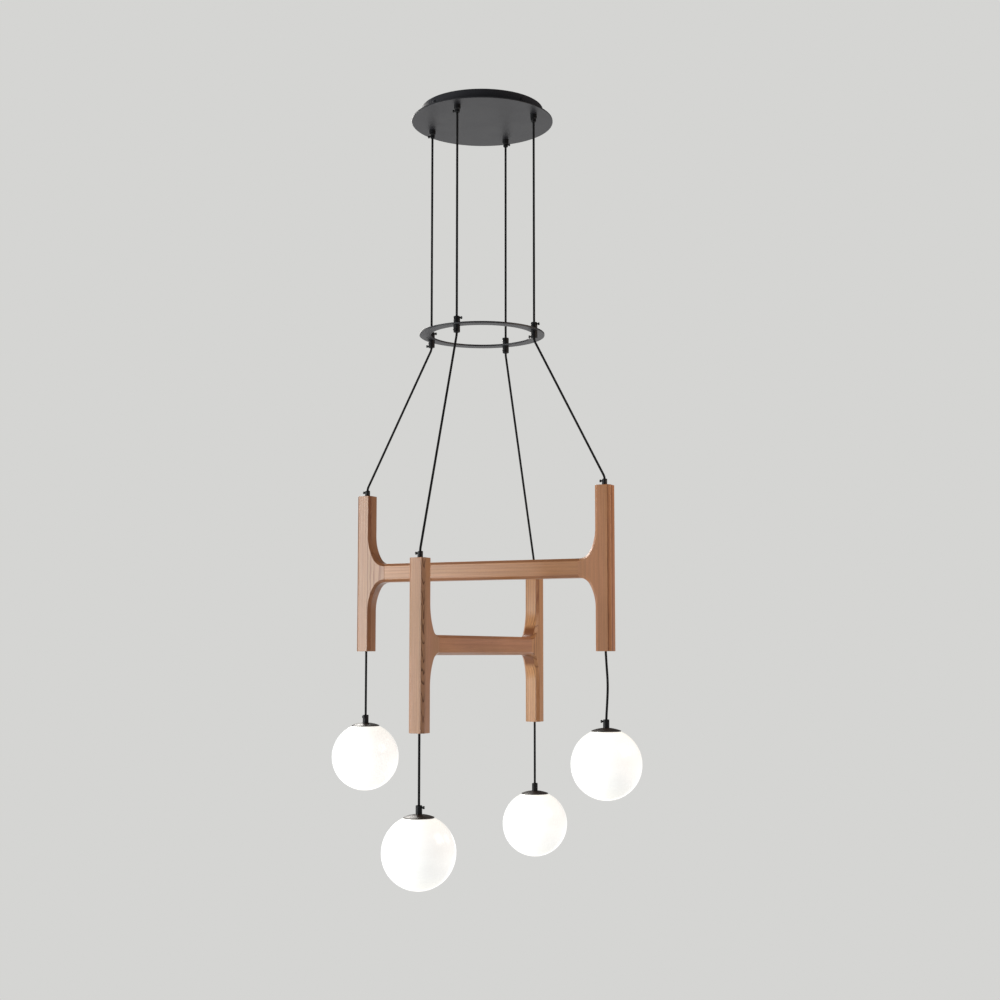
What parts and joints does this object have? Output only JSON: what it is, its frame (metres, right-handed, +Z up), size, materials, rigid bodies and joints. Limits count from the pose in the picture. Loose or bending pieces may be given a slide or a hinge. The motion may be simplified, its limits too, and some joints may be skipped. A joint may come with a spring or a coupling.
{
  "type": "chandelier",
  "caption": "Chandelier with crossed wooden H-frames hung on cords from a flat ring and a round ceiling canopy, each leg carrying an opal glass globe on a short drop cord",
  "frame": {"origin": "Middle of the ceiling face: the top of the ceiling bracket, on the axis of the canopy.", "axes": "+Z up to the ceiling; +X along the bar of the upper wooden frame; +Y along the bar of the lower wooden frame, away from its front leg."},
  "size_m": [0.584, 0.584, 1.356],
  "materials": {
    "blackened_metal": "satin",
    "plated_steel": "satin",
    "terminal_plastic": "matte",
    "black_cord": "matte",
    "oiled_wood": "satin",
    "cap_metal": "satin",
    "holder_ceramic": "matte",
    "bulb_glass": "gloss",
    "opal_glass": "gloss"
  },
  "bodies": {
    "canopy": {"ceiling_bracket": "plated_steel", "canopy_drum": "blackened_metal", "canopy_plate": "blackened_metal", "canopy_side_screws": "blackened_metal", "canopy_grips": "blackened_metal", "canopy_grip_nuts": "plated_steel", "canopy_grip_screws": "blackened_metal", "terminal_block": "terminal_plastic", "canopy_cord_tails": "black_cord"},
    "left_cord": {"left_suspension_cord": "black_cord"},
    "right_cord": {"right_suspension_cord": "black_cord"},
    "front_cord": {"front_suspension_cord": "black_cord"},
    "back_cord": {"back_suspension_cord": "black_cord"},
    "ring": {"suspension_ring": "blackened_metal", "ring_upper_grips": "blackened_metal", "ring_lower_grips": "blackened_metal", "ring_grip_screws": "blackened_metal", "ring_cord_runs": "black_cord"},
    "upper_frame": {"upper_left_leg": "oiled_wood", "upper_right_leg": "oiled_wood", "upper_crossbar": "oiled_wood", "upper_leg_grips": "blackened_metal", "upper_leg_grip_screws": "blackened_metal", "left_frame_cord": "black_cord", "right_frame_cord": "black_cord"},
    "lower_frame": {"lower_front_leg": "oiled_wood", "lower_back_leg": "oiled_wood", "lower_crossbar": "oiled_wood", "lower_leg_grips": "blackened_metal", "lower_leg_grip_screws": "blackened_metal", "front_frame_cord": "black_cord", "back_frame_cord": "black_cord"},
    "left_lamp": {"left_drop_cord": "black_cord", "left_globe_grip": "blackened_metal", "left_globe_grip_screw": "blackened_metal", "left_globe_cap": "cap_metal", "left_lamp_holder": "holder_ceramic", "left_bulb": "bulb_glass"},
    "left_glass": {"left_glass_globe": "opal_glass"},
    "right_lamp": {"right_drop_cord": "black_cord", "right_globe_grip": "blackened_metal", "right_globe_grip_screw": "blackened_metal", "right_globe_cap": "cap_metal", "right_lamp_holder": "holder_ceramic", "right_bulb": "bulb_glass"},
    "right_glass": {"right_glass_globe": "opal_glass"},
    "front_lamp": {"front_drop_cord": "black_cord", "front_globe_grip": "blackened_metal", "front_globe_grip_screw": "blackened_metal", "front_globe_cap": "cap_metal", "front_lamp_holder": "holder_ceramic", "front_bulb": "bulb_glass"},
    "front_glass": {"front_glass_globe": "opal_glass"},
    "back_lamp": {"back_drop_cord": "black_cord", "back_globe_grip": "blackened_metal", "back_globe_grip_screw": "blackened_metal", "back_globe_cap": "cap_metal", "back_lamp_holder": "holder_ceramic", "back_bulb": "bulb_glass"},
    "back_glass": {"back_glass_globe": "opal_glass"}
  },
  "joints": [
    {"name": "left_cord_swing", "type": "hinge", "parent": "canopy", "child": "left_cord", "pos_m": [-0.1015, 0, -0.037], "axis": [0, 1, 0], "range_deg": [-7, 7]},
    {"name": "right_cord_swing", "type": "hinge", "parent": "canopy", "child": "right_cord", "pos_m": [0.1015, 0, -0.037], "axis": [0, 1, 0], "range_deg": [-7, 7]},
    {"name": "front_cord_swing", "type": "hinge", "parent": "canopy", "child": "front_cord", "pos_m": [0, -0.1015, -0.037], "axis": [0, 1, 0], "range_deg": [-7, 7]},
    {"name": "back_cord_swing", "type": "hinge", "parent": "canopy", "child": "back_cord", "pos_m": [0, 0.1015, -0.037], "axis": [0, 1, 0], "range_deg": [-7, 7]},
    {"name": "ring_level", "type": "hinge", "parent": "left_cord", "child": "ring", "pos_m": [-0.1015, 0, -0.4], "axis": [0, 1, 0], "range_deg": [-7, 7]},
    {"name": "upper_frame_swing", "type": "hinge", "parent": "ring", "child": "upper_frame", "pos_m": [0, 0, -0.4285], "axis": [1, 0, 0], "range_deg": [-8, 8]},
    {"name": "lower_frame_swing", "type": "hinge", "parent": "ring", "child": "lower_frame", "pos_m": [0, 0, -0.4285], "axis": [0, 1, 0], "range_deg": [-8, 8]},
    {"name": "left_globe_swing", "type": "hinge", "parent": "upper_frame", "child": "left_lamp", "pos_m": [-0.232, 0, -0.9765], "axis": [0, 1, 0], "range_deg": [-15, 15]},
    {"name": "left_glass_turn", "type": "hinge", "parent": "left_lamp", "child": "left_glass", "pos_m": [-0.232, 0, -1.16496], "axis": [0, 0, 1], "continuous": true},
    {"name": "right_globe_swing", "type": "hinge", "parent": "upper_frame", "child": "right_lamp", "pos_m": [0.232, 0, -0.9765], "axis": [0, 1, 0], "range_deg": [-15, 15]},
    {"name": "right_glass_turn", "type": "hinge", "parent": "right_lamp", "child": "right_glass", "pos_m": [0.232, 0, -1.16496], "axis": [0, 0, 1], "continuous": true},
    {"name": "front_globe_swing", "type": "hinge", "parent": "lower_frame", "child": "front_lamp", "pos_m": [0, -0.232, -1.1075], "axis": [1, 0, 0], "range_deg": [-15, 15]},
    {"name": "front_glass_turn", "type": "hinge", "parent": "front_lamp", "child": "front_glass", "pos_m": [0, -0.232, -1.29596], "axis": [0, 0, 1], "continuous": true},
    {"name": "back_globe_swing", "type": "hinge", "parent": "lower_frame", "child": "back_lamp", "pos_m": [0, 0.232, -1.1075], "axis": [1, 0, 0], "range_deg": [-15, 15]},
    {"name": "back_glass_turn", "type": "hinge", "parent": "back_lamp", "child": "back_glass", "pos_m": [0, 0.232, -1.29596], "axis": [0, 0, 1], "continuous": true}
  ],
  "couplings": [
    {"joint": "right_cord_swing", "follows": "left_cord_swing", "ratio": 1},
    {"joint": "front_cord_swing", "follows": "left_cord_swing", "ratio": 1},
    {"joint": "back_cord_swing", "follows": "left_cord_swing", "ratio": 1},
    {"joint": "ring_level", "follows": "left_cord_swing", "ratio": -1}
  ]
}
